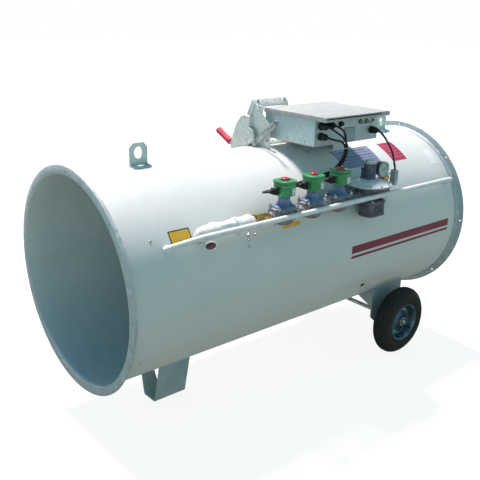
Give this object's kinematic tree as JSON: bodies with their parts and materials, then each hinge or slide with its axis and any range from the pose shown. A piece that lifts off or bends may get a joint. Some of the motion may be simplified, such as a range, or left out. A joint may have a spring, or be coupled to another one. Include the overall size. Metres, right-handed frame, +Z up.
{
  "type": "forced air heater",
  "caption": "Wheeled cylindrical forced air heater with flanged ends, gas valve train behind a guard rail, top control box, hand winch, fan and burner.",
  "frame": {"origin": "centre of the bounding box on the ground, under the casing", "axes": "+X from the hot air outlet to the fan inlet along the casing, +Z up, gas train and control switches on the -Y side"},
  "size_m": [1.7694, 0.868, 1.1457],
  "materials": {
    "casing_paint": "satin off-white paint over steel sheet",
    "galvanised": "dull galvanised steel",
    "white_fitting": "white painted pipe and fittings",
    "tyre_rubber": "moulded rubber",
    "rim_metal": "blue-grey plated pressed steel",
    "steel": "bright steel bar",
    "cast_alloy": "rough cast aluminium",
    "bonnet_paint": "blue-grey enamel",
    "green_enamel": "glossy green enamel with a red cap",
    "brass": "turned brass",
    "dark_enamel": "dark blue-grey enamel",
    "black_plastic": "black moulded plastic",
    "red_grip": "red ribbed grip",
    "zinc": "bright zinc plate",
    "motor_paint": "grey-blue motor enamel",
    "hot_steel": "heat-tinted steel",
    "ceramic": "glazed ceramic",
    "cable_jacket": "black cable jacket"
  },
  "bodies": {
    "root": {"casing_shell": "casing_paint", "front_leg": "casing_paint", "wheel_bracket_near": "casing_paint", "wheel_bracket_far": "casing_paint", "front_lifting_eye": "casing_paint", "rear_lifting_eye": "casing_paint", "switch_box": "casing_paint", "outlet_flange": "galvanised", "inlet_flange": "galvanised", "inlet_guard": "galvanised", "motor_mount": "galvanised", "control_box": "galvanised", "box_stand": "galvanised", "winch_frame": "galvanised", "guard_rail": "white_fitting", "gas_elbow": "white_fitting", "gas_tee": "white_fitting", "regulator_case": "white_fitting", "axle": "steel", "valve_body_1": "cast_alloy", "valve_body_2": "cast_alloy", "valve_body_3": "cast_alloy", "regulator_body": "cast_alloy", "valve_bonnet_1": "bonnet_paint", "valve_bonnet_2": "bonnet_paint", "valve_bonnet_3": "bonnet_paint", "coil_housing_1": "green_enamel", "coil_housing_2": "green_enamel", "coil_housing_3": "green_enamel", "brass_union": "brass", "gauge_cock": "brass", "regulator_tower": "dark_enamel", "pressure_gauge": "dark_enamel", "gland_1": "black_plastic", "gland_2": "black_plastic", "gland_3": "black_plastic", "gland_4": "black_plastic", "valve_cable_1": "cable_jacket", "valve_cable_2": "cable_jacket", "valve_cable_3": "cable_jacket", "switch_cable": "cable_jacket", "fan_motor": "motor_paint", "burner_head": "hot_steel", "mixing_cone": "hot_steel", "spark_igniter": "ceramic"},
    "near_wheel": {"tyre_near": "tyre_rubber", "rim_near": "rim_metal"},
    "far_wheel": {"tyre_far": "tyre_rubber", "rim_far": "rim_metal"},
    "fan": {"fan_shaft": "steel", "fan_rotor": "galvanised"},
    "box_lid": {"control_box_lid": "galvanised"},
    "toggle_switch_1": {"toggle_1": "black_plastic"},
    "toggle_switch_2": {"toggle_2": "black_plastic"},
    "push_button": {"start_button": "black_plastic"},
    "cock_lever": {"gauge_cock_lever": "zinc"},
    "drum": {"winch_drum": "galvanised"},
    "winch_lever": {"winch_handle": "zinc", "winch_grip": "red_grip"},
    "brake_lever": {"winch_brake_lever": "zinc"}
  },
  "joints": [
    {"name": "near_wheel_spin", "type": "hinge", "parent": "root", "child": "near_wheel", "pos_m": [0.5403, -0.327, 0.156], "axis": [0, 1, 0], "continuous": true},
    {"name": "far_wheel_spin", "type": "hinge", "parent": "root", "child": "far_wheel", "pos_m": [0.5403, 0.377, 0.156], "axis": [0, 1, 0], "continuous": true},
    {"name": "fan_spin", "type": "hinge", "parent": "root", "child": "fan", "pos_m": [0.5553, 0.025, 0.5807], "axis": [1, 0, 0], "continuous": true},
    {"name": "lid_hinge", "type": "hinge", "parent": "root", "child": "box_lid", "pos_m": [0.1893, 0.047, 1.1052], "axis": [-1, 0, 0], "range_deg": [0, 85]},
    {"name": "toggle_1_flip", "type": "hinge", "parent": "root", "child": "toggle_switch_1", "pos_m": [0.2653, -0.2455, 1.0767], "axis": [1, 0, 0], "range_deg": [-28, 0]},
    {"name": "toggle_2_flip", "type": "hinge", "parent": "root", "child": "toggle_switch_2", "pos_m": [0.3023, -0.2455, 1.0757], "axis": [1, 0, 0], "range_deg": [-28, 0]},
    {"name": "start_button_press", "type": "slide", "parent": "root", "child": "push_button", "axis": [0, 1, 0], "range_m": [0, 0.003], "stiffness_N_per_m": 300},
    {"name": "gauge_cock_turn", "type": "hinge", "parent": "root", "child": "cock_lever", "pos_m": [0.3273, -0.347, 0.8707], "axis": [0, 0, 1], "range_deg": [0, 90]},
    {"name": "winch_drum_spin", "type": "hinge", "parent": "root", "child": "drum", "pos_m": [0.0753, 0.084, 1.0007], "axis": [1, 0, 0], "continuous": true},
    {"name": "winch_lever_swing", "type": "hinge", "parent": "root", "child": "winch_lever", "pos_m": [-0.0127, 0.084, 1.0007], "axis": [1, 0, 0], "range_deg": [0, 70]},
    {"name": "brake_lever_swing", "type": "hinge", "parent": "root", "child": "brake_lever", "pos_m": [-0.0447, 0.039, 0.9807], "axis": [1, 0, 0], "range_deg": [-30, 0]}
  ]
}
